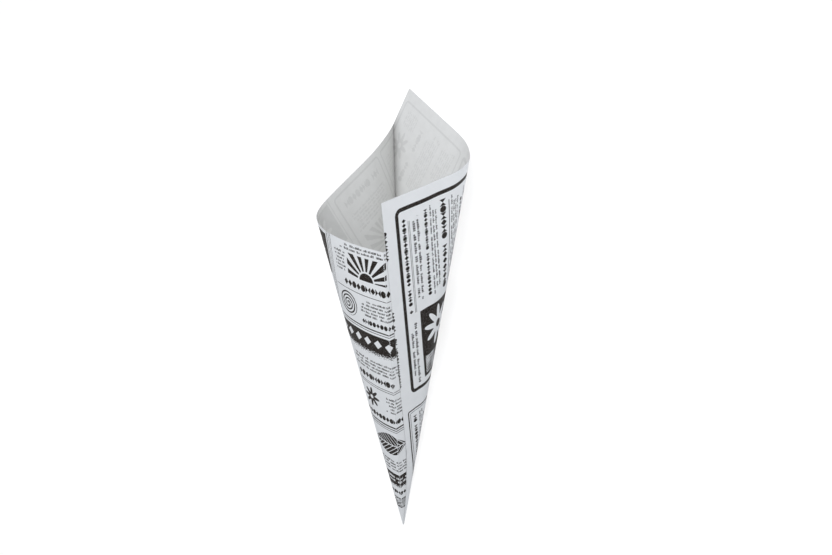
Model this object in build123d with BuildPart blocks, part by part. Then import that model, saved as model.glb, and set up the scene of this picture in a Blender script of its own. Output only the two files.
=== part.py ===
# Paper fry cone: one sheet rolled round a tip, creased down its front and its back, and glued
# where the outer flap laps over the inner tail. It lies on its flat back panel.
import os
from math import atan2, cos, degrees, radians, sin, tan

from build123d import *

# Sheet, measured flat from the tip: x along the flap's cut edge, y across it
sheet_thickness = 0.15
short_cut_distance = 221.5
long_cut_distance = 195.0
flap_margin = 9.0
flap_corner_inset = 1.2
tip_opening = 1.5

# Where the flap's edge turns in to the tip, and where the tail ends, across the front panel
flap_turn_share = 0.72
tail_end_share = 0.92

# Glue line under the flap's cut edge
glue_thickness = 0.05
glue_width = 6.0
glue_inset = 2.0

# Outline of the opened cone, square to its axis at section_height above the tip
section_height = 200.0
crease_spacing = 127.0
side_corner_reach = 55.0
side_corner_setback = 5.0
side_bend_radius = 40.5
left_bulge = 41.0

# The left wall between its creases, as shares of half the crease spacing and of the bulge:
# hollow behind the back crease, full at the side, then easing into the front crease
left_depth_shares = (0.45, -0.15, -0.65)
left_reach_shares = (0.42, 1.0, 0.67)
left_start_angle = -104.5
left_end_angle = -33.0

# Stations of the curved walls, and finer steps that add up the sheet's angle
bend_stations = 6
left_stations = 12
steps_per_station = 16

tip = Vector(0, 0, 0)
rise = Vector(0, 0, section_height)
half_depth = crease_spacing / 2


class Wall:
    """One stretch of the outline, and the part of the sheet that rises from the tip through it."""

    def __init__(self, edge, start_angle, stations=1):
        self.edge = edge
        self.stations = stations
        self.angles = [start_angle]
        steps = stations * steps_per_station
        rulings = [self.ruling(step / steps) for step in range(steps + 1)]
        for first, second in zip(rulings, rulings[1:]):
            self.angles.append(self.angles[-1] + radians(first.get_angle(second)))
        self.start_angle = start_angle
        self.end_angle = self.angles[-1]

    def ruling(self, share):
        """Direction from the tip to the outline."""
        return (self.edge @ share + rise).normalized()

    def inward(self, share):
        """Direction square to the sheet, into the cone."""
        return self.ruling(share).cross(self.edge % share).normalized()

    def share_at(self, angle):
        """Share of the outline at a sheet angle inside this wall."""
        for step, (low, high) in enumerate(zip(self.angles, self.angles[1:])):
            if angle <= high:
                return (step + (angle - low) / (high - low)) / (len(self.angles) - 1)
        return 1

    def angle_at(self, share):
        """Sheet angle at a share of the outline."""
        step = share * (len(self.angles) - 1)
        low = min(int(step), len(self.angles) - 2)
        return self.angles[low] + (step - low) * (self.angles[low + 1] - self.angles[low])

    def flat_plane(self, shift=tip):
        """Plane of a flat panel, with its x and y as on the flat sheet."""
        inward = self.inward(0)
        along = self.ruling(0).rotate(Axis(tip, inward), -degrees(self.start_angle))
        return Plane(origin=shift, x_dir=along, z_dir=inward)

    def station_plane(self, share, shift=tip):
        """Plane across the sheet at one ruling: x along the ruling, y into the cone."""
        ruling = self.ruling(share)
        return Plane(origin=shift, x_dir=ruling, z_dir=ruling.cross(self.inward(share)))


def on_sheet(angle, distance):
    """Point of the flat sheet at an angle and a distance from the tip."""
    return (distance * cos(angle), distance * sin(angle))


def rim_distance(angle):
    """Distance from the tip to the rim, which is the sheet's two straight cuts."""
    if angle < peak_angle:
        return short_cut_distance / cos(angle)
    return long_cut_distance / sin(angle)


def sheet_panel(plane, points):
    """Flat panel of the sheet from its flat outline."""
    with BuildSketch(plane) as panel:
        with BuildLine():
            Polyline(*points, close=True)
        make_face()
    extrude(panel.sketch, amount=sheet_thickness / 2, both=True)


def sheet_strip(plane, angle, width=sheet_thickness, offset=0):
    """Section of the sheet along one ruling, from the tip to the rim."""
    length = rim_distance(angle) - tip_opening
    with BuildSketch(plane) as strip:
        with Locations((tip_opening + length / 2, offset)):
            Rectangle(length, width)
    return strip.sketch


def rolled_wall(wall, shift=tip):
    """Curved wall, lofted through its stations on each side of the peak. The shift grows along it."""
    peak_share = wall.share_at(peak_angle) if wall.start_angle < peak_angle < wall.end_angle else 1
    shares = [station / wall.stations for station in range(wall.stations + 1)]
    before_peak = [share for share in shares if share < peak_share] + [peak_share]
    after_peak = [peak_share] + [share for share in shares if share > peak_share]
    for run in (before_peak, after_peak):
        strips = [
            sheet_strip(wall.station_plane(share, shift * share), wall.angle_at(share))
            for share in run
        ]
        if len(strips) > 1:
            loft(strips)


def crease(before, after, shift=tip):
    """Rounded outside of the fold between two walls."""
    half = sheet_thickness / 2
    strip = sheet_strip(before.station_plane(1, shift), before.end_angle, half, -half / 2)
    fold_angle = before.inward(1).get_angle(after.inward(0))
    revolve(strip, axis=Axis(shift, before.ruling(1)), revolution_arc=fold_angle)


# Outline: two flat panels joined by a round bend on the right, one soft curve on the left
front_crease = (0, -half_depth)
back_crease = (0, half_depth)
with BuildLine() as right_outline:
    FilletPolyline(
        front_crease, (side_corner_reach, -side_corner_setback), back_crease, radius=side_bend_radius
    )
left_points = [
    (-left_bulge * reach, half_depth * depth)
    for reach, depth in zip(left_reach_shares, left_depth_shares)
]
with BuildLine() as left_outline:
    Spline(
        back_crease,
        *left_points,
        front_crease,
        tangents=[
            (cos(radians(left_start_angle)), sin(radians(left_start_angle))),
            (cos(radians(left_end_angle)), sin(radians(left_end_angle))),
        ],
    )

# Sheet angles, counted from the line through the tip beside the flap's cut edge
peak_angle = atan2(long_cut_distance, short_cut_distance)
flap_corner_angle = atan2(flap_margin, short_cut_distance)
front_angle = flap_corner_angle - flap_corner_inset / rim_distance(flap_corner_angle)
front_edge, bend_edge, back_edge = right_outline.wires()[0].order_edges()
front_panel = Wall(front_edge, front_angle)
side_bend = Wall(bend_edge, front_panel.end_angle, bend_stations)
back_panel = Wall(back_edge, side_bend.end_angle)
left_wall = Wall(left_outline.edges()[0], back_panel.end_angle, left_stations)
tail_panel = Wall(front_edge, left_wall.end_angle)

# The tail lies one sheet and one glue line inside the front panel
crease_spread = left_wall.inward(1) + tail_panel.inward(0)
layer_step = sheet_thickness + glue_thickness
tail_shift = crease_spread * (layer_step / crease_spread.dot(tail_panel.inward(0)))

with BuildPart() as rolled_sheet:
    # Outer flap, from its cut edge to the start of the side bend
    panel_turn = front_panel.end_angle - front_angle
    turn_angle = front_angle + flap_turn_share * panel_turn
    sheet_panel(
        front_panel.flat_plane(),
        [
            on_sheet(flap_corner_angle, rim_distance(flap_corner_angle)),
            (flap_margin / tan(turn_angle), flap_margin),
            on_sheet(turn_angle, tip_opening),
            on_sheet(front_panel.end_angle, tip_opening),
            on_sheet(front_panel.end_angle, rim_distance(front_panel.end_angle)),
        ],
    )
    rolled_wall(side_bend)

    # Back panel, with the peak where the two straight cuts meet
    panel_angles = [back_panel.start_angle, back_panel.end_angle]
    if panel_angles[0] < peak_angle < panel_angles[1]:
        panel_angles.insert(1, peak_angle)
    sheet_panel(
        back_panel.flat_plane(),
        [on_sheet(angle, rim_distance(angle)) for angle in panel_angles]
        + [on_sheet(back_panel.end_angle, tip_opening), on_sheet(back_panel.start_angle, tip_opening)],
    )
    crease(back_panel, left_wall)
    rolled_wall(left_wall, tail_shift)
    crease(left_wall, tail_panel, tail_shift)

    # Inner tail, under the flap
    tail_end_angle = tail_panel.start_angle + tail_end_share * panel_turn
    sheet_panel(
        tail_panel.flat_plane(tail_shift),
        [
            on_sheet(tail_panel.start_angle, tip_opening),
            on_sheet(tail_end_angle, tip_opening),
            on_sheet(tail_end_angle, rim_distance(tail_end_angle)),
            on_sheet(tail_panel.start_angle, rim_distance(tail_panel.start_angle)),
        ],
    )

    # Glue line between the flap and the tail, beside the flap's cut edge
    glue_near = flap_margin + glue_inset
    glue_far = glue_near + glue_width
    glue_bottom = glue_far / tan(front_angle + tail_end_share * panel_turn) + glue_inset
    glue_top = long_cut_distance - glue_width
    with BuildSketch(front_panel.flat_plane().offset(sheet_thickness / 2)) as glue_line:
        with Locations(((glue_bottom + glue_top) / 2, (glue_near + glue_far) / 2)):
            Rectangle(glue_top - glue_bottom, glue_far - glue_near)
    extrude(glue_line.sketch, amount=glue_thickness)

# The cone lies on its back panel, mouth towards +X, with its origin under the middle of its box
down_face = back_panel.flat_plane().offset(-sheet_thickness / 2)
cone_axis = rise.normalized()
along_floor = cone_axis - down_face.z_dir * cone_axis.dot(down_face.z_dir)
floor_plane = Plane(origin=down_face.origin, x_dir=along_floor, z_dir=down_face.z_dir)
lying_box = floor_plane.to_local_coords(rolled_sheet.part).bounding_box()
with BuildPart() as paper_cone:
    with Locations((-lying_box.center().X, -lying_box.center().Y, 0)):
        add(floor_plane.to_local_coords(rolled_sheet.part))

os.makedirs("parts", exist_ok=True)
paper_cone.part.label = "paper_cone"
export_step(paper_cone.part, "parts/paper_cone.step")
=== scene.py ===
# Paper fry cone: one sheet of greaseproof paper, printed outside, rolled to a point, creased at its
# front and its back, and lying on its flat back panel.
from collections import namedtuple
from functools import partial
from math import atan2, cos, pi, radians, sin, tan

import bpy
import numpy as np
from bpy.props import FloatProperty, FloatVectorProperty, PointerProperty
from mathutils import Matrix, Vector


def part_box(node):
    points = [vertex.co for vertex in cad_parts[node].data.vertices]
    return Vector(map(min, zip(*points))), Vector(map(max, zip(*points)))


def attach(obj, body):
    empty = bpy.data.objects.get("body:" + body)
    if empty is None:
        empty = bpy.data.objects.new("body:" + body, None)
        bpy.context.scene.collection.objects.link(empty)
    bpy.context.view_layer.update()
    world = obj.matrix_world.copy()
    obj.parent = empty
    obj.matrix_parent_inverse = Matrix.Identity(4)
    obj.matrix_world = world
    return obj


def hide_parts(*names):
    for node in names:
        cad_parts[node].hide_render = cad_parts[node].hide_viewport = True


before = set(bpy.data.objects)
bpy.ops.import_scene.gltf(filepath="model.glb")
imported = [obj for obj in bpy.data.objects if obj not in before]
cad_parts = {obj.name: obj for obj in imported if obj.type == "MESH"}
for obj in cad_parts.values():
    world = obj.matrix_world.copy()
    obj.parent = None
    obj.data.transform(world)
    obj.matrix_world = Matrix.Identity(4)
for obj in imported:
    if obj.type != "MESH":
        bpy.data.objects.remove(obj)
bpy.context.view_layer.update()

bl_info = {
    "name": "Paper Fry Cone",
    "version": (1, 0, 0),
    "blender": (4, 5, 0),
    "location": "View3D > Sidebar > Fry Cone",
    "description": "Rolls a printed paper fry cone and sets it on a plain pale floor",
    "category": "Add Mesh",
}

mm = 0.001

# Sheet in mm, measured flat from the tip: x along the flap's cut edge, y across it
short_cut_distance = 221.5
long_cut_distance = 195.0
flap_margin = 9.0
flap_corner_inset = 1.2
tip_opening = 1.5
flap_turn_share = 0.72
tail_end_share = 0.92

# Glue between the flap and the tail, in mm
glue_thickness = 0.05

# Outline of the opened cone in mm, square to its axis at section_height above the tip
section_height = 200.0
side_corner = (55.0, -5.0)
left_depth_shares = (0.45, -0.15, -0.65)
left_reach_shares = (0.42, 1.0, 0.67)
left_start_angle = radians(-104.5)
left_end_angle = radians(-33.0)

# Stretches of wall, in the order in which the sheet runs on from the flap
front_wall, bend_wall, back_wall, left_wall, tail_wall = range(5)

# Grid of the sheet: rows from the tip to the rim, and columns across each stretch of wall
rows = 120
flap_columns = 26
bend_columns = 44
back_columns = 18
left_columns = 110
tail_columns = 18
outline_samples = 1200

# Slight waves across the paper: how fast each sine turns and where it starts, and how high the
# finer one is beside the broader one
broad_wave = (17, 0.6)
fine_wave = (31, 2.0)
fine_wave_share = 0.6

# Faces that meet at a larger angle than this keep a sharp edge
sharp_angle = radians(25)

# The flat sheet's x and y in mm at the origin of its UV map, and the length of one unit of it
sheet_corner = (-50.0, -10.0)
sheet_unit = 300.0

# Paper and ink in mm: the width of the sheet's clouds and fibres, the height of its relief, how far
# ink spreads along the fibres, the width of the voids in the ink, how far light scatters in the
# sheet, and how far the painted shade of the creases reaches before and after them, as the sheet
# runs on from the flap
cloud_width = 5.0
fibre_width = 0.3
relief_height = 0.02
ink_spread = 0.15
void_width = 0.5
scatter_width = 0.6
crease_shade_before = 12.0
crease_shade_after = 0.8

# Share of the print's darkness that shows through the sheet, and darkness of the creases' painted
# shade
show_through = 0.11
crease_shade_darkness = 0.46

# How much paler the paper is where its pulp is dense, and how sharply clouds and fibres stand out
printed_paleness = 0.19
plain_paleness = 0.08
edge_paleness = 0.12
cloud_contrast = 2.0

# Ink: how sharply its voids stand out, how common and how pale they are, and how far a crease
# breaks it at the coarsest and at the finest grain, in mm
void_contrast = 5.0
void_level = 0.62
void_paleness = 0.3
crack_widths = (1.25, -1.15)

# Multiplier that takes the sheet's places apart, so that each gets its own random number
scatter_scale = 977.0

# Matt paper: the refractive index of cellulose, the share of a gloss that a dull face keeps, the
# roughness of its faces and its cut edge, what fibres add to it and ink takes from it, how high
# the clouds stand beside the fibres, and how strongly and how softly the relief shows
paper_index = 1.5
paper_gloss = 0.12
face_roughness = 0.6
edge_roughness = 0.85
fibre_roughness = 0.1
ink_smoothness = 0.1
cloud_relief = 1.5
relief_strength = 0.6
relief_softness = 0.1

# Filler strokes: the share that chance cuts from a row, words in sizes of the row with the share
# that is their gap and the share and the rate of their sway, strokes to a size, and the shares of
# a stroke's width, of its half height by chance and at least, and of the row below its foot
row_cut_share = 0.3
word_length = 2.2
word_gap_share = 0.2
word_sway_share = 0.16
word_sway_rate = 3.7
strokes_per_size = 2.3
stroke_width_share = 0.16
stroke_height_shares = (0.15, 0.18)
stroke_base_share = 0.16

# Steps between the seeds of a row's strokes and cells, and from one random number to a second
stroke_seed_step = 31.7
cell_seed_step = 17.3
second_fate_step = 9.7

# Ornaments: the length of a cell in sizes, the scales that bring a cell's place to 1 at an
# ornament's side and top, and the random numbers that give bows and lozenges, with their reach.
# Larger ones give discs, and smaller ones gaps.
cell_share = 0.6
across_scale = 2.2
up_scale = 2.9
bow_fate = 0.26
lozenge_fate = 0.56
fate_reach = 0.15

# Engraved motifs, in shares of half their height: a flower's mean radius and its eye, and a sun
# and the gap round it. A leaf's bare midrib is a share of its veins' spacing.
flower_share = 0.7
flower_eye_share = 0.2
sun_share = 0.7
sun_gap_share = 0.85
midrib_share = 0.12

# Engraved shading: the slant of its lines, and the width in mm and the contrast of its tones. The
# stippled edge fades by a share of its half height.
hatch_slant = 0.6
tone_width = 6.25
tone_contrast = 3.6
stipple_fade_share = 0.25

# Least radius in mm of a frame's inner corners
least_radius = 0.01

# Camera in m, degrees and mm, found from the photograph's rim, creases and outline
camera_place = (0.0294088, -0.3297967, 0.2633419)
camera_turn = (6.7329, 52.0537, -79.0926)
camera_lens = 28.125
sensor_width = 36.0

# Lamps in m: one above the mouth, and a low one before the flap
key_place = (0.35, -0.2, 0.4)
low_place = (0.22, -0.38, 0.12)
lamp_aim = (0.02, 0, 0.03)

# White floor: its shade where it lights the cone, and its shade and glow where the eye sees it, so
# that it is white there and keeps the cone's shadow
floor_shade = 0.8
seen_floor_shade = 0.28
seen_floor_glow = 0.86

# One stretch of wall: its sheet angles, and the ruling and the inward normal at each of them
Wall = namedtuple("Wall", ("angles", "rulings", "inward"))


def linear_colour(hex_colour):
    """Linear colour of an sRGB hex value."""
    channels = np.array([int(hex_colour[place:place + 2], 16) for place in (1, 3, 5)]) / 255
    linear = np.where(channels <= 0.04045, channels / 12.92, ((channels + 0.055) / 1.055) ** 2.4)
    return (*linear.tolist(), 1.0)


def unit(vectors):
    """Vectors of length one along the last axis."""
    return vectors / np.linalg.norm(vectors, axis=-1, keepdims=True)


def straight_outline(start, end):
    """Points of a straight line, at even steps from start to end."""
    share = np.linspace(0, 1, outline_samples)[:, None]
    return start + share * (end - start)


def round_outline(start, corner, end, radius):
    """Points of the arc that rounds the corner between two lines.

    The arc touches both lines at the radius over the tangent of half the corner's angle, and its
    points turn about the centre at even steps.
    """
    to_start, to_end = unit(start - corner), unit(end - corner)
    half_angle = float(np.arccos(to_start @ to_end)) / 2
    centre = corner + unit(to_start + to_end) * radius / sin(half_angle)
    first = corner + to_start * radius / tan(half_angle) - centre
    last = corner + to_end * radius / tan(half_angle) - centre
    turn = atan2(first[0] * last[1] - first[1] * last[0], first @ last)
    angle = atan2(first[1], first[0]) + np.linspace(0, turn, outline_samples)
    return centre + radius * np.stack([np.cos(angle), np.sin(angle)], axis=-1)


def smooth_outline(points, start_angle, end_angle):
    """Points of the smooth curve through a few points, leaving and ending at set angles.

    Each span is a cubic over its chord length. The slopes at the inner points solve the linear
    system that carries the curvature on through them, and the two end slopes are unit vectors.
    """
    spans = np.linalg.norm(np.diff(points, axis=0), axis=1)
    steps = np.diff(points, axis=0) / spans[:, None]
    knots = np.concatenate([[0], np.cumsum(spans)])
    inner = np.arange(1, len(points) - 1)
    system = np.eye(len(points))
    system[inner, inner - 1] = spans[1:]
    system[inner, inner] = 2 * (spans[1:] + spans[:-1])
    system[inner, inner + 1] = spans[:-1]
    wanted = np.zeros((len(points), 2))
    wanted[0] = (cos(start_angle), sin(start_angle))
    wanted[-1] = (cos(end_angle), sin(end_angle))
    wanted[1:-1] = 3 * (spans[1:, None] * steps[:-1] + spans[:-1, None] * steps[1:])
    slopes = np.linalg.solve(system, wanted)
    along = np.linspace(0, knots[-1], outline_samples)
    span = np.clip(np.searchsorted(knots, along, side="right") - 1, 0, len(spans) - 1)
    length = spans[span][:, None]
    share = (along - knots[span])[:, None] / length
    rest = 1 - share
    return (
        points[span] * (1 + 2 * share) * rest**2
        + points[span + 1] * (1 + 2 * rest) * share**2
        + (slopes[span] * rest - slopes[span + 1] * share) * share * rest * length
    )


def rim_distance(angle):
    """Distance from the tip to the sheet's two straight cuts, which meet at the peak."""
    peak_angle = atan2(long_cut_distance, short_cut_distance)
    short = short_cut_distance / np.cos(angle)
    return np.where(angle < peak_angle, short, long_cut_distance / np.sin(angle))


def rolled_walls(settings):
    """Sheet angles, rulings and inward normals of the front, side bend, back, left wall and tail.

    A ruling points from the tip to the outline. The inward normal is the ruling crossed with the
    outline's tangent. The sheet angle adds up the small angles between rulings, so the flat sheet
    keeps its lengths as it is rolled.
    """
    half_depth = settings.crease_spacing / mm / 2
    front_crease = np.array([0, -half_depth])
    back_crease = -front_crease
    corner = np.array(side_corner)
    bend = round_outline(front_crease, corner, back_crease, settings.side_bend_radius / mm)
    front = straight_outline(front_crease, bend[0])
    back = straight_outline(bend[-1], back_crease)
    shares = np.stack([left_reach_shares, left_depth_shares], axis=-1)
    left_points = shares * (-settings.left_bulge / mm, half_depth)
    left_points = np.vstack([back_crease, left_points, front_crease])
    left = smooth_outline(left_points, left_start_angle, left_end_angle)
    angle = atan2(flap_margin, short_cut_distance)
    angle -= flap_corner_inset / float(rim_distance(angle))
    walls = []
    for outline in (front, bend, back, left, front):
        rulings = unit(np.insert(outline, 2, section_height, axis=1))
        tangents = np.insert(np.gradient(outline, axis=0), 2, 0, axis=1)
        turns = 2 * np.arcsin(np.linalg.norm(np.diff(rulings, axis=0), axis=1) / 2)
        angles = angle + np.concatenate([[0], np.cumsum(turns)])
        walls.append(Wall(angles, rulings, unit(np.cross(rulings, tangents))))
        angle = angles[-1]
    return walls


def lap_shift(walls, thickness):
    """Shift that brings the tail one sheet and one glue line inside the front panel.

    It runs along the crease's spread, the sum of the normals on its two sides.
    """
    tail_inward = walls[tail_wall].inward[0]
    spread = walls[left_wall].inward[-1] + tail_inward
    return spread * (thickness + glue_thickness) / (spread @ tail_inward)


def ripple(flat, walls, wall, height):
    """Slight waves of the paper along its rulings, in mm into the cone.

    Each wave is a sine of the sheet angle that grows in line with the distance from the tip, and
    it fades out at the creases. The back panel lies flat, and the tail follows the flap over it.
    """
    angle = np.arctan2(flat[..., 1], flat[..., 0])
    if wall == tail_wall:
        angle = angle - walls[tail_wall].angles[0] + walls[front_wall].angles[0]
    start, end = (wall, wall) if wall in (back_wall, left_wall) else (front_wall, bend_wall)
    low, high = walls[start].angles[0], walls[end].angles[-1]
    share = np.clip((angle - low) / (high - low), 0, 1)
    broad, fine = (np.sin(rate * share + phase) for rate, phase in (broad_wave, fine_wave))
    waves = broad + fine_wave_share * fine
    distance = np.hypot(flat[..., 0], flat[..., 1]) / section_height
    return height * (wall != back_wall) * waves * np.sin(np.pi * share) * distance


def place_on_wall(flat, walls, wall, shift):
    """Middle places and inward normals of flat sheet points on one wall, in the cone's own axes.

    The left wall takes on the lap's shift in line with the outline, and the tail has all of it.
    """
    angles, rulings, inward = walls[wall]
    angle = np.arctan2(flat[..., 1], flat[..., 0])
    distance = np.hypot(flat[..., 0], flat[..., 1])
    ruling, normal = (
        unit(np.stack([np.interp(angle, angles, vectors[:, axis]) for axis in range(3)], axis=-1))
        for vectors in (rulings, inward)
    )
    along = np.interp(angle, angles, np.linspace(0, 1, outline_samples))
    lapped = {left_wall: along, tail_wall: np.ones_like(angle)}.get(wall, np.zeros_like(angle))
    moved = shift * lapped[..., None]
    return ruling * distance[..., None] + moved, normal


def sheet_grid(walls):
    """Flat places of the sheet, one grid of columns by rows for each wall.

    Rows run at even steps from the tip to the rim along each column's ruling. The flap's rows run
    straight from its cut edge to the end of its flat panel, so its corners fall on the grid's.
    """
    share = np.linspace(0, 1, rows)

    def fan(angles):
        distance = tip_opening + (rim_distance(angles)[:, None] - tip_opening) * share
        return distance[..., None] * np.stack([np.cos(angles), np.sin(angles)], axis=-1)[:, None]

    front_start, front_end = walls[front_wall].angles[[0, -1]]
    turn_angle = front_start + flap_turn_share * (front_end - front_start)
    turn_place = flap_margin / tan(turn_angle)
    along = turn_place + (short_cut_distance - turn_place) * share
    cut_edge = np.stack([along, np.full(rows, flap_margin)], axis=-1)
    panel_end = fan(np.array([front_end]))[0]
    across = np.linspace(0, 1, flap_columns)[:, None, None]
    flap = cut_edge + (panel_end - cut_edge) * across
    grids = [flap]
    other_columns = (bend_columns, back_columns, left_columns, tail_columns)
    for wall, columns in enumerate(other_columns, bend_wall):
        low, high = walls[wall].angles[[0, -1]]
        if wall == tail_wall:
            high = low + tail_end_share * (front_end - front_start)
        angles = np.linspace(low, high, columns)
        peak_angle = atan2(long_cut_distance, short_cut_distance)
        if low < peak_angle < high:
            angles[np.abs(angles - peak_angle).argmin()] = peak_angle
        grids.append(fan(angles))
    return grids


def shell_faces(columns, grid_rows):
    """Quads of a closed shell of two grids: the outer skin, the inner skin, and the cut edges.

    The corners of a skin's quad are one step apart along a column and a row. The inner skin's
    quads run the other way round, and the edge quads join the skins along the grid's border.
    """
    index = np.arange(columns * grid_rows).reshape(columns, grid_rows)
    corners = [index[:-1, :-1], index[1:, :-1], index[1:, 1:], index[:-1, 1:]]
    quads = np.stack(corners, axis=-1).reshape(-1, 4)
    depth = columns * grid_rows
    inner = quads[:, ::-1] + depth
    border = np.concatenate([index[:-1, 0], index[-1, :-1], index[:0:-1, -1], index[0, :0:-1]])
    ahead = np.roll(border, -1)
    edges = np.stack([ahead, border, border + depth, ahead + depth], axis=-1)
    return quads, inner, edges


def lying(places, walls, thickness, centre):
    """Places turned so that the back panel lies on the floor and the mouth is towards +X.

    The floor's z is the back panel's inward normal, its x is the cone's axis laid on the floor,
    and the middle of the box comes to the given centre.
    """
    floor_z = walls[back_wall].inward[0]
    floor_x = unit(np.array([0, 0, 1]) - floor_z * floor_z[2])
    turned = places @ np.stack([floor_x, np.cross(floor_z, floor_x), floor_z], axis=-1)
    turned[..., 2] += thickness / 2
    flat_places = turned.reshape(-1, 3)
    middle = (flat_places.min(axis=0) + flat_places.max(axis=0)) / 2
    turned[..., :2] += centre - middle[:2]
    return turned


def rolled_sheet_mesh(settings, walls):
    """Mesh of the whole sheet with its thickness, and its flat places as a UV map."""
    thickness = settings.thickness / mm
    shift = lap_shift(walls, thickness)
    middles, normals, flats = [], [], []
    for wall, flat in enumerate(sheet_grid(walls)):
        middle, normal = place_on_wall(flat, walls, wall, shift)
        middle += normal * ripple(flat, walls, wall, settings.ripple_height / mm)[..., None]
        if middles:
            before = normals[-1][-1]
            mitre = (before + normal[0]) / (1 + np.sum(before * normal[0], axis=-1, keepdims=True))
            normals[-1][-1] = mitre
            middle, normal, flat = middle[1:], normal[1:], flat[1:]
        middles.append(middle)
        normals.append(normal)
        flats.append(flat)
    middle, normal, flat = (np.concatenate(parts) for parts in (middles, normals, flats))
    skins = np.stack([middle - normal * thickness / 2, middle + normal * thickness / 2])
    low, high = (np.array(corner[:]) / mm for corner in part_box("paper_cone"))
    places = lying(skins, walls, thickness, (low[:2] + high[:2]) / 2).reshape(-1, 3) * mm
    printed, plain, edges = shell_faces(*middle.shape[:2])
    faces = np.concatenate([printed, plain, edges])
    mesh = bpy.data.meshes.new("paper_cone_sheet")
    mesh.from_pydata(places, [], faces)
    sheet_map = (np.tile(flat.reshape(-1, 2), (2, 1)) - sheet_corner) / sheet_unit
    corners = np.empty(len(mesh.loops), dtype=np.int32)
    mesh.loops.foreach_get("vertex_index", corners)
    mesh.uv_layers.new(name="sheet").data.foreach_set("uv", sheet_map[corners].ravel())
    finish = np.repeat([0, 1, 2], [len(printed), len(plain), len(edges)])
    mesh.polygons.foreach_set("material_index", finish.astype(np.int32))
    mesh.shade_smooth()
    mesh.set_sharp_from_angle(angle=sharp_angle)
    return mesh


def add_node(tree, kind, *sources, **settings):
    """New node of a kind with its settings, its inputs in order linked to sources or set to values.

    Sockets that the settings turn off are passed over.
    """
    node = tree.nodes.new(kind)
    for name, value in settings.items():
        setattr(node, name, value)
    used = [socket for socket in node.inputs if socket.enabled]
    for socket, source in zip(used, sources):
        if isinstance(source, bpy.types.Node):
            source = next(output for output in source.outputs if output.enabled)
        if isinstance(source, bpy.types.NodeSocket):
            tree.links.new(source, socket)
        else:
            socket.default_value = source
    return node


def new_material(name):
    """Empty node material, and what adds a node to it."""
    material = bpy.data.materials.new(name)
    material.use_nodes = True
    material.node_tree.nodes.clear()
    return material, partial(add_node, material.node_tree)


def ink_group(name, sockets):
    """Empty node group whose output is ink: its tree, what adds a node to it, and its inputs."""
    tree = bpy.data.node_groups.new(name, "ShaderNodeTree")
    for socket in sockets:
        tree.interface.new_socket(name=socket, in_out="INPUT", socket_type="NodeSocketFloat")
    tree.interface.new_socket(name="Ink", in_out="OUTPUT", socket_type="NodeSocketFloat")
    add = partial(add_node, tree)
    inputs = add("NodeGroupInput").outputs
    return tree, add, [inputs[socket] for socket in sockets]


def motif_group(name, draw):
    """Node group of one printed motif, drawn about the middle of its block."""
    tree, add, inputs = ink_group(name, motif_inputs)
    add("NodeGroupOutput", draw(add, partial(add, "ShaderNodeMath"), *inputs))
    return tree


def ragged_row(add, math, x, y, half_length, half_height, size, seed):
    """Row number with its seed, height within the row from 0 to 1, and 1 where the row reaches.

    A row is a size high. A random share of up to the row's cut is taken from its reach.
    """
    rise = math(y, half_height, operation="ADD")
    rows_up = math(rise, size, operation="DIVIDE")
    row = math(rows_up, operation="FLOOR")
    height = math(rows_up, operation="FRACT")
    row_seed = math(row, seed, operation="ADD")
    chance = add("ShaderNodeTexWhiteNoise", row_seed, noise_dimensions="1D")
    kept = math(chance, -row_cut_share, 1.0, operation="MULTIPLY_ADD")
    row_reach = math(half_length, kept, operation="MULTIPLY")
    in_row = math(x, 0.0, row_reach, operation="COMPARE")
    return row_seed, height, in_row


def draw_lines(add, math, x, y, half_length, half_height, size, weight, seed):
    """Lines of filler strokes, as dark and as fine as small type, that say nothing.

    The place along a row, in words, sways by a slow sine so that words differ in length, and each
    word starts with a gap. Each row is cut into strokes that stand on one base. One random number
    gives a stroke its width, from the weight up, and a second one its height.
    """
    row_seed, height, in_row = ragged_row(add, math, x, y, half_length, half_height, size, seed)
    along = math(x, size, operation="DIVIDE")
    steady = math(along, 1 / word_length, row_seed, operation="MULTIPLY_ADD")
    angle = math(steady, word_sway_rate, operation="MULTIPLY")
    sway = math(angle, operation="SINE")
    swayed = math(sway, word_sway_share, steady, operation="MULTIPLY_ADD")
    within = math(swayed, operation="FRACT")
    in_word = math(within, word_gap_share, operation="GREATER_THAN")
    shown = math(in_row, in_word, operation="MULTIPLY")
    strokes_along = math(along, strokes_per_size, operation="MULTIPLY")
    stroke = math(strokes_along, operation="FLOOR")
    place = math(strokes_along, operation="FRACT")
    stroke_seed = math(row_seed, stroke_seed_step, stroke, operation="MULTIPLY_ADD")
    fate = add("ShaderNodeTexWhiteNoise", stroke_seed, noise_dimensions="1D")
    half_width = math(fate, stroke_width_share, weight, operation="MULTIPLY_ADD")
    stem = math(place, 0.5, half_width, operation="COMPARE")
    fate_ahead = math(fate, second_fate_step, operation="MULTIPLY")
    second_fate = math(fate_ahead, operation="FRACT")
    half_body = math(second_fate, *stroke_height_shares, operation="MULTIPLY_ADD")
    body_middle = math(half_body, stroke_base_share, operation="ADD")
    body = math(height, body_middle, half_body, operation="COMPARE")
    inked = math(stem, body, operation="MULTIPLY")
    return math(inked, shown, operation="MULTIPLY")


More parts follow.
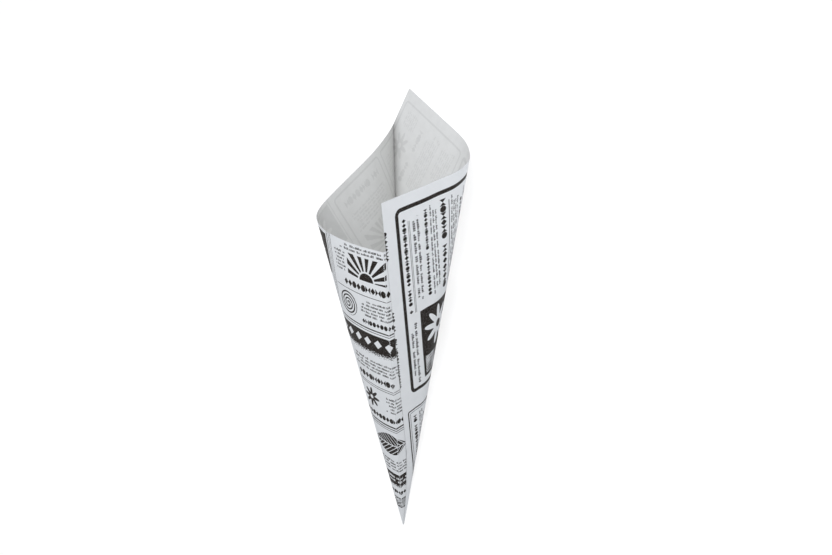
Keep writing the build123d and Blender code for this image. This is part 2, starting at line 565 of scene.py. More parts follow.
def draw_ornaments(add, math, x, y, half_length, half_height, size, weight, seed):
    """Row of printer's ornaments as bold as a heading: bows, lozenges, discs and gaps at random.

    Each fills a cell, and the row ends between two cells. Within a cell, u and v are the shares
    across and up from its middle. A bow is where v is below u, a lozenge where they add up to less
    than the weight, and a disc where the root of their squares is below it.
    """
    cell_length = math(size, cell_share, operation="MULTIPLY")
    cells_along = math(x, cell_length, operation="DIVIDE")
    cell = math(cells_along, operation="FLOOR")
    place = math(cells_along, operation="FRACT")
    from_middle = math(place, 0.5, operation="SUBTRACT")
    side = math(from_middle, operation="ABSOLUTE")
    across = math(side, across_scale, operation="MULTIPLY")
    next_middle = math(cell, 0.5, operation="ADD")
    cell_middle = math(next_middle, cell_length, operation="MULTIPLY")
    free_length = math(cell_length, -0.5, half_length, operation="MULTIPLY_ADD")
    row_seed, height, in_row = ragged_row(
        add, math, cell_middle, y, free_length, half_height, size, seed
    )
    from_centre = math(height, 0.5, operation="SUBTRACT")
    off = math(from_centre, operation="ABSOLUTE")
    up = math(off, up_scale, operation="MULTIPLY")
    cell_seed = math(row_seed, cell_seed_step, cell, operation="MULTIPLY_ADD")
    fate = add("ShaderNodeTexWhiteNoise", cell_seed, noise_dimensions="1D")
    total = math(across, up, operation="ADD")
    lozenge = math(total, weight, operation="LESS_THAN")
    distance = distance_from(math, across, up)
    disc = math(distance, weight, operation="LESS_THAN")
    bow = math(up, across, operation="LESS_THAN")
    is_bow = math(fate, bow_fate, fate_reach, operation="COMPARE")
    is_lozenge = math(fate, lozenge_fate, fate_reach, operation="COMPARE")
    is_disc = math(fate, lozenge_fate + fate_reach, operation="GREATER_THAN")
    bows = math(bow, is_bow, operation="MULTIPLY")
    discs = math(disc, is_disc, bows, operation="MULTIPLY_ADD")
    inked = math(lozenge, is_lozenge, discs, operation="MULTIPLY_ADD", use_clamp=True)
    return math(inked, in_row, operation="MULTIPLY")


def distance_from(math, x, y):
    """Distance of a place from the middle: the root of the sum of the squares."""
    x_squared = math(x, x, operation="MULTIPLY")
    squares = math(y, y, x_squared, operation="MULTIPLY_ADD")
    return math(squares, operation="SQRT")


def draw_rings(add, math, x, y, half_length, half_height, size, weight, seed):
    """Disc of rings, as an engraver shades a ball: a cosine of the distance is below the weight."""
    distance = distance_from(math, x, y)
    turns = math(distance, size, operation="DIVIDE")
    angle = math(turns, 2 * pi, operation="MULTIPLY")
    wave = math(angle, operation="COSINE")
    ring = math(wave, weight, operation="LESS_THAN")
    disc = math(distance, half_height, operation="LESS_THAN")
    return math(ring, disc, operation="MULTIPLY")


def draw_spiral(add, math, x, y, half_length, half_height, size, weight, seed):
    """Flat coil.

    It is inked where the distance less the angle, in turns, is past a whole number by up to the
    weight.
    """
    angle = math(y, x, operation="ARCTAN2")
    distance = distance_from(math, x, y)
    turns = math(distance, size, operation="DIVIDE")
    wound = math(angle, -1 / (2 * pi), turns, operation="MULTIPLY_ADD")
    past = math(wound, operation="FRACT")
    coil = math(past, weight, operation="LESS_THAN")
    disc = math(distance, half_height, operation="LESS_THAN")
    return math(coil, disc, operation="MULTIPLY")


def draw_petals(add, math, x, y, half_length, half_height, size, weight, seed):
    """Flower with an eye and a size's count of petals.

    Its radius swells and shrinks by the weight with a cosine of the angle.
    """
    angle = math(y, x, operation="ARCTAN2")
    turned = math(angle, size, operation="MULTIPLY")
    wave = math(turned, operation="COSINE")
    swell = math(wave, weight, flower_share, operation="MULTIPLY_ADD")
    edge = math(half_height, swell, operation="MULTIPLY")
    distance = distance_from(math, x, y)
    petal = math(distance, edge, operation="LESS_THAN")
    eye_radius = math(half_height, flower_eye_share, operation="MULTIPLY")
    eye = math(distance, eye_radius, operation="GREATER_THAN")
    return math(petal, eye, operation="MULTIPLY")


def draw_lozenges(add, math, x, y, half_length, half_height, size, weight, seed):
    """Chain of lozenges, one to a size of length.

    A lozenge is where the shares across and up from its middle add up to less than the weight.
    """
    along = math(x, size, operation="DIVIDE")
    share = math(along, 0.5, operation="ADD")
    within = math(share, operation="FRACT")
    centred = math(within, 0.5, operation="SUBTRACT")
    across = math(centred, operation="ABSOLUTE")
    up = math(y, size, operation="DIVIDE")
    rise = math(up, operation="ABSOLUTE")
    total = math(across, rise, operation="ADD")
    return math(total, weight, operation="LESS_THAN")


def draw_rays(add, math, x, y, half_length, half_height, size, weight, seed):
    """Half sun on the block's lower side: a plain disc, a gap, and a size's count of rays round it.

    A ray is where a cosine of the angle is below the weight.
    """
    up = math(y, half_height, operation="ADD")
    angle = math(up, x, operation="ARCTAN2")
    turned = math(angle, size, operation="MULTIPLY")
    wave = math(turned, operation="COSINE")
    ray = math(wave, weight, operation="LESS_THAN")
    distance = distance_from(math, x, up)
    disc_radius = math(half_height, sun_share, operation="MULTIPLY")
    disc = math(distance, disc_radius, operation="LESS_THAN")
    gap_radius = math(half_height, sun_gap_share, operation="MULTIPLY")
    free = math(distance, gap_radius, operation="GREATER_THAN")
    shown = math(ray, free, operation="MULTIPLY")
    return math(shown, disc, operation="MAXIMUM")


def draw_leaf(add, math, x, y, half_length, half_height, size, weight, seed):
    """Engraved leaf: its half breadth is a cosine along it, with a bare midrib and slanting veins.

    The veins lie a size apart, and each is bare over the weight's share of that.
    """
    share = math(x, half_length, operation="DIVIDE")
    angle = math(share, pi / 2, operation="MULTIPLY")
    bulge = math(angle, operation="COSINE")
    reach = math(half_height, bulge, operation="MULTIPLY")
    off = math(y, operation="ABSOLUTE")
    inside = math(off, reach, operation="LESS_THAN")
    midrib = math(size, midrib_share, operation="MULTIPLY")
    beside = math(off, midrib, operation="GREATER_THAN")
    slant = math(x, off, operation="SUBTRACT")
    veins_along = math(slant, size, operation="DIVIDE")
    within = math(veins_along, operation="FRACT")
    between = math(within, weight, operation="GREATER_THAN")
    blade = math(inside, beside, operation="MULTIPLY")
    return math(blade, between, operation="MULTIPLY")


def draw_hatch(add, math, x, y, half_length, half_height, size, weight, seed):
    """Engraved shading: slanting lines a size apart that swell and thin.

    A line is where a sine across them is below the weight and a broad noise round zero.
    """
    slant = math(x, hatch_slant, y, operation="MULTIPLY_ADD")
    turns = math(slant, size, operation="DIVIDE")
    angle = math(turns, 2 * pi, operation="MULTIPLY")
    wave = math(angle, operation="SINE")
    place = add("ShaderNodeCombineXYZ", x, y, 0.0)
    broad = add("ShaderNodeTexNoise", place, 1 / tone_width, 1.0, noise_dimensions="2D")
    tone = math(broad, tone_contrast, -tone_contrast / 2, operation="MULTIPLY_ADD")
    level = math(tone, weight, operation="ADD")
    return math(wave, level, operation="LESS_THAN")


def draw_stipple(add, math, x, y, half_length, half_height, size, weight, seed):
    """Stippled edge that thins out downwards.

    It is where a noise of a size's grain, and a part of the share up, add up to more than the
    weight.
    """
    across = math(x, size, operation="DIVIDE")
    up = math(y, size, operation="DIVIDE")
    place = add("ShaderNodeCombineXYZ", across, up, 0.0)
    grain = add("ShaderNodeTexNoise", place, 1.0, 2.0, noise_dimensions="2D")
    share_up = math(y, half_height, operation="DIVIDE")
    height = math(share_up, stipple_fade_share, grain, operation="MULTIPLY_ADD")
    return math(height, weight, operation="GREATER_THAN")


def rounded_block(math, x, y, middle, half, radius):
    """Ink inside a rectangle with rounded corners.

    The distance to it is the length of what lies beyond the rectangle of the corners' centres.
    """
    past = []
    for place, centre, reach in zip((x, y), middle, half):
        from_middle = math(place, centre, operation="SUBTRACT")
        off = math(from_middle, operation="ABSOLUTE")
        past_straight = math(off, reach - radius, operation="SUBTRACT")
        past.append(math(past_straight, 0.0, operation="MAXIMUM"))
    return math(distance_from(math, *past), radius, operation="LESS_THAN")


def newsprint_group():
    """Node group that gives the ink at each place of the flat sheet, from the page's blocks.

    A plain block is inked where both places are within its reach, and a frame is a rounded block
    less a smaller one. For each other motif, the block that a place is in hands its middle, reach,
    size and weight to one drawing of the motif, as sums of which all but that block's terms are
    zero. The tone has a sum too, and the seed is the middle's x. Bare paper takes its motif away
    from the ink.
    """
    tree, add, (x, y) = ink_group("newsprint", ("X", "Y"))
    math = partial(add, "ShaderNodeMath")
    ink = 0.0
    sums = {kind: [0.0] * len(motif_inputs) for kind in motif_drawings}
    for kind, tone, (left, right), (bottom, top), size, weight in page_blocks:
        middle = ((left + right) / 2, (bottom + top) / 2)
        half = ((right - left) / 2, (top - bottom) / 2)
        if kind == "frame":
            outer = rounded_block(math, x, y, middle, half, weight)
            inner_half = [reach - size for reach in half]
            inner_radius = max(weight - size, least_radius)
            inner = rounded_block(math, x, y, middle, inner_half, inner_radius)
            rule = math(outer, inner, operation="SUBTRACT")
            ink = math(ink, rule, operation="MAXIMUM")
            continue
        across = math(x, middle[0], half[0], operation="COMPARE")
        up = math(y, middle[1], half[1], operation="COMPARE")
        inside = math(across, up, operation="MULTIPLY")
        if kind == "solid":
            ink = math(ink, inside, operation="MAXIMUM")
            continue
        values = (*middle, *half, size, weight, 1.0 if tone == "ink" else -1.0)
        sums[kind] = [
            math(inside, value, total, operation="MULTIPLY_ADD")
            for value, total in zip(values, sums[kind])
        ]
    for kind, draw in motif_drawings.items():
        middle_x, middle_y, *rest, tone = sums[kind]
        local_x = math(x, middle_x, operation="SUBTRACT")
        local_y = math(y, middle_y, operation="SUBTRACT")
        group = motif_group(kind, draw)
        motif = add("ShaderNodeGroup", local_x, local_y, *rest, middle_x, node_tree=group)
        ink = math(tone, motif, ink, operation="MULTIPLY_ADD", use_clamp=True)
    add("NodeGroupOutput", ink)
    return tree


motif_inputs = ("X", "Y", "Half Length", "Half Height", "Size", "Weight", "Seed")
motif_drawings = {
    "lines": draw_lines,
    "ornaments": draw_ornaments,
    "rings": draw_rings,
    "spiral": draw_spiral,
    "petals": draw_petals,
    "lozenges": draw_lozenges,
    "rays": draw_rays,
    "leaf": draw_leaf,
    "hatch": draw_hatch,
    "stipple": draw_stipple,
}

# Blocks of the printed page on the flat sheet, in mm: motif, ink or bare paper, x from and to, y
# from and to, the motif's size, and its weight. Later blocks print over earlier ones, and blocks
# of one motif lie clear of each other.
page_blocks = (
    # Marks that the flap's cut edge runs through
    ("ornaments", "ink", (188, 206), (6.6, 11.4), 4.8, 1.0),
    ("ornaments", "ink", (104, 160), (7.4, 11.0), 3.6, 1.0),
    # Large card under the flap's corner
    ("frame", "ink", (97, 214.9), (17.3, 110), 2.3, 4.2),
    ("ornaments", "ink", (146, 210), (20.9, 25.1), 4.2, 1.0),
    ("solid", "ink", (150, 206), (25.9, 26.2), 0, 0),
    ("solid", "ink", (150, 206), (26.8, 27.1), 0, 0),
    ("lines", "ink", (101, 144), (20.9, 26.9), 3.0, 0.27),
    ("lines", "ink", (153, 210), (28.6, 34.6), 3.0, 0.27),
    ("ornaments", "ink", (154, 210), (37.0, 41.0), 4.0, 1.0),
    ("lines", "ink", (154, 210), (42.0, 48.6), 2.2, 0.27),
    ("solid", "ink", (103, 149), (29.6, 102.0), 0, 0),
    ("hatch", "paper", (105, 117), (31.4, 100.0), 1.3, -0.1),
    ("petals", "paper", (120, 147), (32.0, 59.0), 9, 0.28),
    ("rings", "ink", (120, 147), (32.0, 59.0), 2.2, -0.3),
    ("rays", "paper", (120, 147), (63.0, 76.5), 17, 0.1),
    ("ornaments", "ink", (154, 210), (50.0, 56.6), 6.6, 1.05),
    ("solid", "ink", (156, 208), (58.0, 58.6), 0, 0),
    ("lines", "ink", (154, 210), (60.0, 69.2), 2.3, 0.27),
    ("ornaments", "ink", (158, 208), (71.0, 75.4), 4.4, 1.0),
    ("lines", "ink", (154, 210), (76.6, 85.4), 2.2, 0.27),
    ("ornaments", "ink", (154, 210), (87.4, 93.8), 6.4, 1.05),
    ("lines", "ink", (154, 210), (96.0, 106.8), 2.2, 0.27),
    # Card towards the tip
    ("frame", "ink", (32, 86), (13.0, 62), 0.9, 1.5),
    ("frame", "ink", (34, 84), (14.8, 60), 0.35, 1.0),
    ("ornaments", "ink", (38, 82), (16.6, 20.8), 4.2, 1.0),
    ("lines", "ink", (44, 82), (22.0, 28.6), 2.2, 0.27),
    ("rings", "ink", (66, 80), (31.0, 45.0), 1.7, -0.1),
    ("lines", "ink", (40, 62), (31.0, 57.4), 2.2, 0.27),
    ("lines", "ink", (64, 82), (47.0, 58.0), 2.2, 0.27),
    # Column beside the front crease
    ("solid", "ink", (46.4, 46.8), (66, 197), 0, 0),
    ("solid", "ink", (48.0, 48.4), (66, 197), 0, 0),
    ("lines", "ink", (-34, 44), (189.8, 194.2), 2.2, 0.27),
    ("rays", "ink", (4, 32), (174.6, 188.6), 17, 0.1),
    ("lines", "ink", (-34, 2), (175.6, 188.8), 2.2, 0.27),
    ("lines", "ink", (33, 44), (175.6, 188.8), 2.2, 0.27),
    ("ornaments", "ink", (-34, 44), (166.8, 172.6), 5.8, 1.05),
    ("solid", "ink", (-36, 45), (165.0, 165.4), 0, 0),
    ("spiral", "ink", (27, 43), (147.4, 163.4), 2.1, 0.45),
    ("lines", "ink", (-32, 24), (152.0, 163.0), 2.2, 0.27),
    ("ornaments", "ink", (-30, 24), (146.4, 150.8), 4.4, 1.0),
    ("solid", "ink", (-36, 45), (144.2, 145.0), 0, 0),
    ("solid", "ink", (-36, 45), (142.8, 143.2), 0, 0),
    ("solid", "ink", (-36, 45), (130.6, 141.4), 0, 0),
    ("lozenges", "paper", (-34.7, 43.8), (132.0, 140.0), 7.85, 0.36),
    ("stipple", "ink", (-36, 45), (126.4, 130.6), 0.7, 0.56),
    ("lines", "ink", (-32, 42), (115.0, 123.8), 2.2, 0.27),
    ("ornaments", "ink", (-28, 38), (107.6, 113.2), 5.6, 1.05),
    ("solid", "ink", (-36, 45), (105.6, 106.0), 0, 0),
    ("solid", "ink", (-36, 45), (104.2, 104.6), 0, 0),
    ("petals", "ink", (14, 28), (88.4, 102.4), 8, 0.28),
    ("lines", "ink", (-30, 12), (89.8, 101.2), 2.28, 0.27),
    ("lines", "ink", (30, 42), (89.8, 101.2), 2.28, 0.27),
    ("ornaments", "ink", (-26, 34), (81.8, 86.6), 4.8, 1.05),
    ("solid", "ink", (-30, 42), (79.2, 80.2), 0, 0),
    ("solid", "ink", (-30, 42), (77.6, 78.2), 0, 0),
    ("solid", "ink", (-30, 42), (76.2, 76.6), 0, 0),
    ("leaf", "ink", (-5.5, 21), (57.8, 73.4), 3.0, 0.2),
    ("lines", "ink", (-22, 28), (45.4, 54.2), 2.2, 0.29),
    ("solid", "ink", (-20, 28), (34.6, 43.0), 0, 0),
    ("lines", "paper", (-20, 28), (36.1, 41.5), 2.7, 0.29),
    ("stipple", "ink", (-20, 28), (31.6, 34.6), 0.7, 0.56),
    ("ornaments", "ink", (-12, 20), (26.4, 30.6), 4.2, 1.0),
    ("solid", "ink", (-12, 20), (16.0, 24.0), 0, 0),
    ("hatch", "paper", (-12, 20), (16.8, 23.2), 1.3, -0.1),
    # Column round the left side
    ("solid", "ink", (52, 91), (167.0, 193.0), 0, 0),
    ("petals", "paper", (58.5, 84.5), (167.0, 193.0), 10, 0.28),
    ("rings", "ink", (58.5, 84.5), (167.0, 193.0), 2.3, -0.3),
    ("ornaments", "ink", (52, 91), (159.0, 164.4), 5.4, 1.05),
    ("lines", "ink", (52, 90), (128.0, 156.6), 2.2, 0.27),
    ("solid", "ink", (51, 92), (125.0, 125.6), 0, 0),
    ("spiral", "ink", (60, 84), (100.0, 122.0), 2.6, 0.4),
    ("lines", "ink", (52, 90), (84.0, 97.2), 2.2, 0.27),
    ("ornaments", "ink", (52, 90), (74.6, 80.6), 6.0, 1.05),
    ("frame", "ink", (50, 93), (66.0, 197), 0.6, 1.0),
    # Cards round the back
    ("frame", "ink", (97, 153), (114.0, 192.0), 1.2, 3.0),
    ("ornaments", "ink", (101, 149), (180.0, 187.0), 7.0, 1.05),
    ("lines", "ink", (102, 148), (163.0, 176.2), 2.2, 0.27),
    ("rays", "ink", (104, 146), (144.0, 160.0), 21, 0.1),
    ("lines", "ink", (102, 148), (126.0, 141.4), 2.2, 0.27),
    ("ornaments", "ink", (104, 146), (118.0, 123.2), 5.2, 1.05),
    ("frame", "ink", (157, 214.9), (114.0, 192.0), 1.2, 3.0),
    ("lines", "ink", (161, 174), (170.0, 185.4), 2.2, 0.27),
    ("petals", "ink", (176, 196), (168.0, 188.0), 8, 0.28),
    ("lines", "ink", (198, 211), (170.0, 185.4), 2.2, 0.27),
    ("ornaments", "ink", (162, 210), (158.0, 164.4), 6.4, 1.05),
    ("lines", "ink", (162, 210), (138.0, 153.4), 2.2, 0.27),
    ("leaf", "ink", (161, 181), (121.0, 133.0), 2.6, 0.25),
    ("lines", "ink", (184, 210), (119.0, 134.4), 2.2, 0.27),
)


def crease_distance(add, place, crease_angles, before=1.0, after=1.0):
    """Distance from the nearer crease on the flat sheet, in a unit of its own in mm on each side.

    A crease is a line through the tip, and a place is before it by x times the sine of its angle
    less y times its cosine.
    """
    math = partial(add, "ShaderNodeMath")
    flat = add("ShaderNodeSeparateXYZ", place)
    distances = []
    for angle in crease_angles:
        up = math(flat.outputs["Y"], -cos(angle), operation="MULTIPLY")
        off = math(flat.outputs["X"], sin(angle), up, operation="MULTIPLY_ADD")
        ahead = math(off, 1 / before, operation="MULTIPLY")
        past = math(off, -1 / after, operation="MULTIPLY")
        distances.append(math(ahead, past, operation="MAXIMUM"))
    return math(*distances, operation="MINIMUM")


def sheet_place(add):
    """Place on the flat sheet in mm, from the sheet's own UV map."""
    sheet_map = add("ShaderNodeUVMap", uv_map="sheet")
    place = add("ShaderNodeMapping", sheet_map, vector_type="POINT")
    place.inputs["Scale"].default_value = (sheet_unit, sheet_unit, 1)
    place.inputs["Location"].default_value = (*sheet_corner, 0)
    return place


def paper_clouds(add, place):
    """Clouds and fibres of the paper, each from 0 to 1.

    Greaseproof pulp is beaten so long that it settles in soft clouds a few mm wide. Real fibres
    are about 0.03 mm wide, and are drawn ten times as coarse so that they show.
    """
    clouds = add("ShaderNodeTexNoise", place, 1 / cloud_width, 2.0, noise_dimensions="2D")
    fibres = add("ShaderNodeTexNoise", place, 1 / fibre_width, 2.0, noise_dimensions="2D")
    fibres.inputs["Distortion"].default_value = 1.0
    math = partial(add, "ShaderNodeMath", operation="MULTIPLY_ADD", use_clamp=True)
    return [math(noise, cloud_contrast, (1 - cloud_contrast) / 2) for noise in (clouds, fibres)]


def print_at(add, place, push, reach, newsprint):
    """Ink of the page where each place is pushed aside, by a random colour times a reach in mm."""
    random = push.outputs["Color"]
    pushed = add("ShaderNodeVectorMath", random, (reach,) * 3, place, operation="MULTIPLY_ADD")
    flat = add("ShaderNodeSeparateXYZ", pushed)
    return add("ShaderNodeGroup", flat.outputs["X"], flat.outputs["Y"], node_tree=newsprint)


def cloudy_colour(add, colour, clouds, paleness):
    """Colour that grows paler by a share where the clouds are dense."""
    paler = add("ShaderNodeMath", clouds, paleness, operation="MULTIPLY")
    return add("ShaderNodeMix", paler, colour, (1, 1, 1, 1), data_type="RGBA")


def finish_paper(add, colour, roughness, relief):
    """Matt shader of uncoated paper with its relief, and the material's output."""
    bump = add("ShaderNodeBump", relief_strength, relief_height * mm, relief_softness, relief)
    shader = add("ShaderNodeBsdfPrincipled", colour, 0.0, roughness, paper_index, 1.0, bump)
    shader.inputs["Specular IOR Level"].default_value = paper_gloss
    add("ShaderNodeOutputMaterial", shader)


def printed_paper(settings, newsprint, crease_angles):
    """Greaseproof paper, calendered smooth and printed in black letterpress.

    The eye gets a cool white sheet with faint clouds, ink with a slightly uneven edge and small
    voids where a fibre took none, and breaks in the ink along the creases. The ink is a shade
    smoother than the paper.
    """
    material, add = new_material("letterpress_printed_greaseproof_paper")
    math = partial(add, "ShaderNodeMath")
    place = sheet_place(add)
    clouds, fibres = paper_clouds(add, place)
    fringe = add("ShaderNodeTexNoise", place, 1 / fibre_width, 1.0, noise_dimensions="2D")
    ink = print_at(add, place, fringe, ink_spread, newsprint)
    grain = add("ShaderNodeTexNoise", place, 1 / void_width, 1.0, noise_dimensions="2D")
    void_start = -void_contrast * void_level
    void = math(grain, void_contrast, void_start, operation="MULTIPLY_ADD", use_clamp=True)
    taken = math(void, -void_paleness, 1.0, operation="MULTIPLY_ADD")
    sound = math(ink, taken, operation="MULTIPLY")
    from_crease = crease_distance(add, place, crease_angles)
    widest, narrowest = crack_widths
    crack_width = math(grain, widest - narrowest, narrowest, operation="MULTIPLY_ADD")
    unbroken = math(from_crease, crack_width, operation="GREATER_THAN")
    cover = math(sound, unbroken, operation="MULTIPLY")
    paper = cloudy_colour(add, settings.paper_colour, clouds, printed_paleness)
    colour = add("ShaderNodeMix", cover, paper, settings.ink_colour, data_type="RGBA")
    dulled = math(fibres, fibre_roughness, face_roughness, operation="MULTIPLY_ADD")
    roughness = math(cover, -ink_smoothness, dulled, operation="MULTIPLY_ADD")
    relief = math(clouds, cloud_relief, fibres, operation="MULTIPLY_ADD")
    finish_paper(add, colour, roughness, relief)
    return material


def plain_paper(settings, newsprint, crease_angles):
    """The unprinted face of the same greaseproof paper.

    The print shows through it faintly and softly, because light scatters sideways in the sheet.
    Painted shade lies along each crease, darkest on it and reaching further before it than after
    it.
    """
    material, add = new_material("calendered_greaseproof_paper")
    math = partial(add, "ShaderNodeMath")
    place = sheet_place(add)
    clouds, fibres = paper_clouds(add, place)
    fine_place = add("ShaderNodeVectorMath", place, (scatter_scale,) * 3, operation="MULTIPLY")
    chance = add("ShaderNodeTexWhiteNoise", fine_place, noise_dimensions="2D")
    ink = print_at(add, place, chance, scatter_width, newsprint)
    # Painted shade along the creases, darkest on each crease
    from_crease = crease_distance(add, place, crease_angles, crease_shade_before, crease_shade_after)
    near = math(from_crease, -1.0, 1.0, operation="MULTIPLY_ADD", use_clamp=True)
    shade = math(near, near, operation="MULTIPLY")
    dimmed = math(ink, show_through, operation="MULTIPLY")
    dark = math(shade, crease_shade_darkness, dimmed, operation="MULTIPLY_ADD", use_clamp=True)
    # The inside colour is darker and warmer than the printed face: painted shade of the cone's
    # inside
    paper = cloudy_colour(add, settings.inside_colour_with_painted_shade, clouds, plain_paleness)
    colour = add("ShaderNodeMix", dark, paper, settings.ink_colour, data_type="RGBA")
    roughness = math(fibres, fibre_roughness, face_roughness, operation="MULTIPLY_ADD")
    relief = math(clouds, cloud_relief, fibres, operation="MULTIPLY_ADD")
    finish_paper(add, colour, roughness, relief)
    return material


def cut_paper(settings):
    """Guillotined edge of the sheet: a greyer colour than the faces, and rougher than them."""
    material, add = new_material("guillotined_paper_edge")
    place = sheet_place(add)
    clouds, fibres = paper_clouds(add, place)
    colour = cloudy_colour(add, settings.edge_colour, fibres, edge_paleness)
    math = partial(add, "ShaderNodeMath")
    roughness = math(fibres, fibre_roughness, edge_roughness, operation="MULTIPLY_ADD")
    finish_paper(add, colour, roughness, fibres)
    return material


def seen_plainly(add):
    """1 for the rays of the eye, of reflections and of clear matter, and 0 for those that light."""
    rays = add("ShaderNodeLightPath")
    camera_ray, glossy_ray = rays.outputs["Is Camera Ray"], rays.outputs["Is Glossy Ray"]
    seen = add("ShaderNodeMath", camera_ray, glossy_ray, operation="MAXIMUM")
    return add("ShaderNodeMath", seen, rays.outputs["Is Transmission Ray"], operation="MAXIMUM")


class ConeSheetSettings(bpy.types.PropertyGroup):
    """Sizes and colours of the paper."""

    thickness: FloatProperty(
        name="Thickness", description="Thickness of the paper", default=0.15 * mm, unit="LENGTH"
    )
    crease_spacing: FloatProperty(
        name="Crease Spacing",
        description="Distance between the two creases, a section height from the tip",
        default=127 * mm,
        unit="LENGTH",
    )
    side_bend_radius: FloatProperty(
        name="Side Bend Radius",
        description="Radius of the round bend between the front and the back, at the same height",
        default=40.5 * mm,
        unit="LENGTH",
    )
    left_bulge: FloatProperty(
        name="Left Bulge",
        description="How far the curved wall stands out from the line between the creases",
        default=41 * mm,
        unit="LENGTH",
    )
    ripple_height: FloatProperty(
        name="Ripple Height",
        description="Height of the paper's slight waves, a section height from the tip",
        default=0.22 * mm,
        unit="LENGTH",
    )
    paper_colour: FloatVectorProperty(
        name="Paper Colour",
        description="Printed face of the paper",
        size=4,
        subtype="COLOR",
        default=linear_colour("#EFF1F1"),
    )
    # Darker and warmer than the printed face: painted shade of the cone's inside
    inside_colour_with_painted_shade: FloatVectorProperty(
        name="Inside Colour",
        description="Plain face of the paper",
        size=4,
        subtype="COLOR",
        default=linear_colour("#D5D5D2"),
    )
    edge_colour: FloatVectorProperty(
        name="Edge Colour",
        description="Cut edges of the paper",
        size=4,
        subtype="COLOR",
        default=linear_colour("#B6B5B3"),
    )
    ink_colour: FloatVectorProperty(
        name="Ink Colour",
        description="Letterpress ink",
        size=4,
        subtype="COLOR",
        default=linear_colour("#1A120B"),
    )


class StageSettings(bpy.types.PropertyGroup):
    """Floor and light."""

    key_power: FloatProperty(
        name="Key Power",
        description="Power of the soft lamp above the mouth",
        default=1.9,
        unit="POWER",
    )
    low_power: FloatProperty(
        name="Low Power",
        description="Power of the low lamp before the flap",
        default=0.1,
        unit="POWER",
    )
    lamp_size: FloatProperty(
        name="Lamp Size", description="Side of each square lamp", default=0.3, unit="LENGTH"
    )
    sky_strength: FloatProperty(
        name="Sky Strength", description="Even light from all sides", default=0.58
    )
    light_colour: FloatVectorProperty(
        name="Light Colour",
        description="Cool daylight of the sky and the lamps",
        size=4,
        subtype="COLOR",
        default=linear_colour("#F8FAFF"),
    )
    floor_size: FloatProperty(
        name="Floor Size", description="Side of the floor", default=12.0, unit="LENGTH"
    )


class CONE_OT_roll_sheet(bpy.types.Operator):
    """Roll the printed sheet into the cone"""

    bl_idname = "fry_cone.roll_sheet"
    bl_label = "Roll the Printed Sheet"

    def execute(self, context):
        settings = context.scene.fry_cone_sheet
        walls = rolled_walls(settings)
        mesh = rolled_sheet_mesh(settings, walls)
        newsprint = newsprint_group()
        crease_angles = (walls[back_wall].angles[-1], walls[left_wall].angles[-1])
        mesh.materials.append(printed_paper(settings, newsprint, crease_angles))
        mesh.materials.append(plain_paper(settings, newsprint, crease_angles))
        mesh.materials.append(cut_paper(settings))
        piece = bpy.data.objects.new("rolled_paper_cone", mesh)
        context.scene.collection.objects.link(piece)
        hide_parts("paper_cone")
        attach(piece, "root")
        return {"FINISHED"}


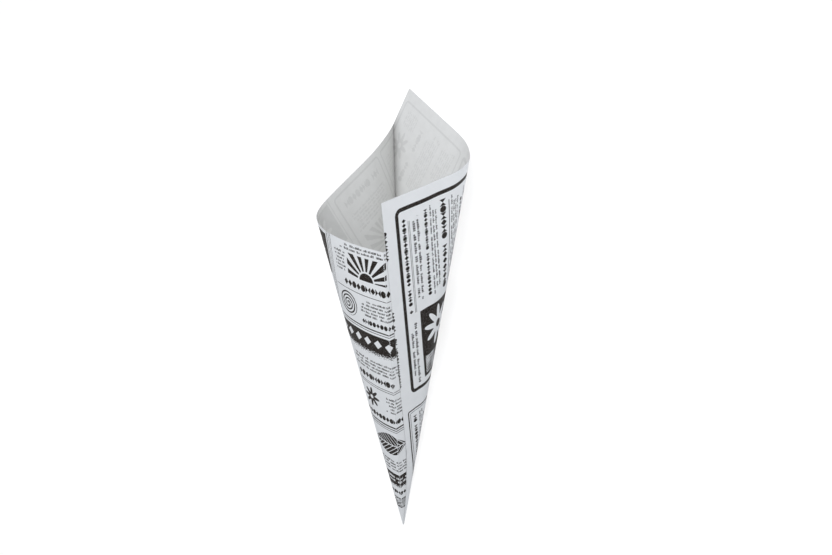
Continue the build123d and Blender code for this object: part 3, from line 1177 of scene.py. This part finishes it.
class CONE_OT_set_stage(bpy.types.Operator):
    """Set the floor, the lamps, the white background and the camera"""

    bl_idname = "fry_cone.set_stage"
    bl_label = "Set the Stage"

    def execute(self, context):
        scene = context.scene
        settings = scene.fry_cone_stage
        scene.view_settings.view_transform = "Standard"
        world = bpy.data.worlds.new("white_studio")
        world.use_nodes = True
        scene.world = world
        tree = world.node_tree
        tree.nodes.clear()
        add = partial(add_node, tree)
        seen = seen_plainly(add)
        strength = add("ShaderNodeMix", seen, settings.sky_strength, 1.0)
        colour = add("ShaderNodeMix", seen, settings.light_colour, (1, 1, 1, 1), data_type="RGBA")
        background = add("ShaderNodeBackground", colour, strength)
        add("ShaderNodeOutputWorld", background)

        half_span = settings.floor_size / 2
        signs = ((-1, -1), (1, -1), (1, 1), (-1, 1))
        corners = [(x * half_span, y * half_span, 0) for x, y in signs]
        floor_mesh = bpy.data.meshes.new("floor")
        floor_mesh.from_pydata(corners, [], [(0, 1, 2, 3)])
        floor = bpy.data.objects.new("floor", floor_mesh)
        scene.collection.objects.link(floor)
        material, add = new_material("white_studio_floor")
        lit, shaded = (
            add("ShaderNodeBsdfDiffuse", (shade, shade, shade, 1))
            for shade in (floor_shade, seen_floor_shade)
        )
        glow = add("ShaderNodeEmission", (1, 1, 1, 1), seen_floor_glow)
        bright = add("ShaderNodeAddShader", shaded, glow)
        surface = add("ShaderNodeMixShader", seen_plainly(add), lit, bright)
        add("ShaderNodeOutputMaterial", surface)
        floor_mesh.materials.append(material)

        lamps = (("key", settings.key_power, key_place), ("low", settings.low_power, low_place))
        for name, power, place in lamps:
            light = bpy.data.lights.new(name, "AREA")
            light.energy = power
            light.color = settings.light_colour[:3]
            light.size = settings.lamp_size
            lamp = bpy.data.objects.new(name, light)
            lamp.location = place
            aim = Vector(lamp_aim) - lamp.location
            lamp.rotation_euler = aim.to_track_quat("-Z", "Y").to_euler()
            lamp.visible_camera = False
            scene.collection.objects.link(lamp)

        lens = bpy.data.cameras.new("camera")
        lens.lens = camera_lens
        lens.sensor_width = sensor_width
        camera = bpy.data.objects.new("camera", lens)
        camera.location = camera_place
        camera.rotation_euler = [radians(turn) for turn in camera_turn]
        scene.collection.objects.link(camera)
        scene.camera = camera
        return {"FINISHED"}


class CONE_PT_panel(bpy.types.Panel):
    """Steps of the fry cone"""

    bl_label = "Fry Cone"
    bl_idname = "CONE_PT_panel"
    bl_space_type = "VIEW_3D"
    bl_region_type = "UI"
    bl_category = "Fry Cone"

    def draw(self, context):
        layout = self.layout
        for settings in (context.scene.fry_cone_sheet, context.scene.fry_cone_stage):
            for name in settings.__annotations__:
                layout.prop(settings, name)
        for operator in (CONE_OT_roll_sheet, CONE_OT_set_stage):
            layout.operator(operator.bl_idname)


classes = (ConeSheetSettings, StageSettings, CONE_OT_roll_sheet, CONE_OT_set_stage, CONE_PT_panel)


def register():
    for each in classes:
        bpy.utils.register_class(each)
    bpy.types.Scene.fry_cone_sheet = PointerProperty(type=ConeSheetSettings)
    bpy.types.Scene.fry_cone_stage = PointerProperty(type=StageSettings)


def unregister():
    del bpy.types.Scene.fry_cone_stage
    del bpy.types.Scene.fry_cone_sheet
    for each in reversed(classes):
        bpy.utils.unregister_class(each)


def main():
    register()
    bpy.ops.fry_cone.roll_sheet()
    bpy.ops.fry_cone.set_stage()


if __name__ == "__main__":
    main()
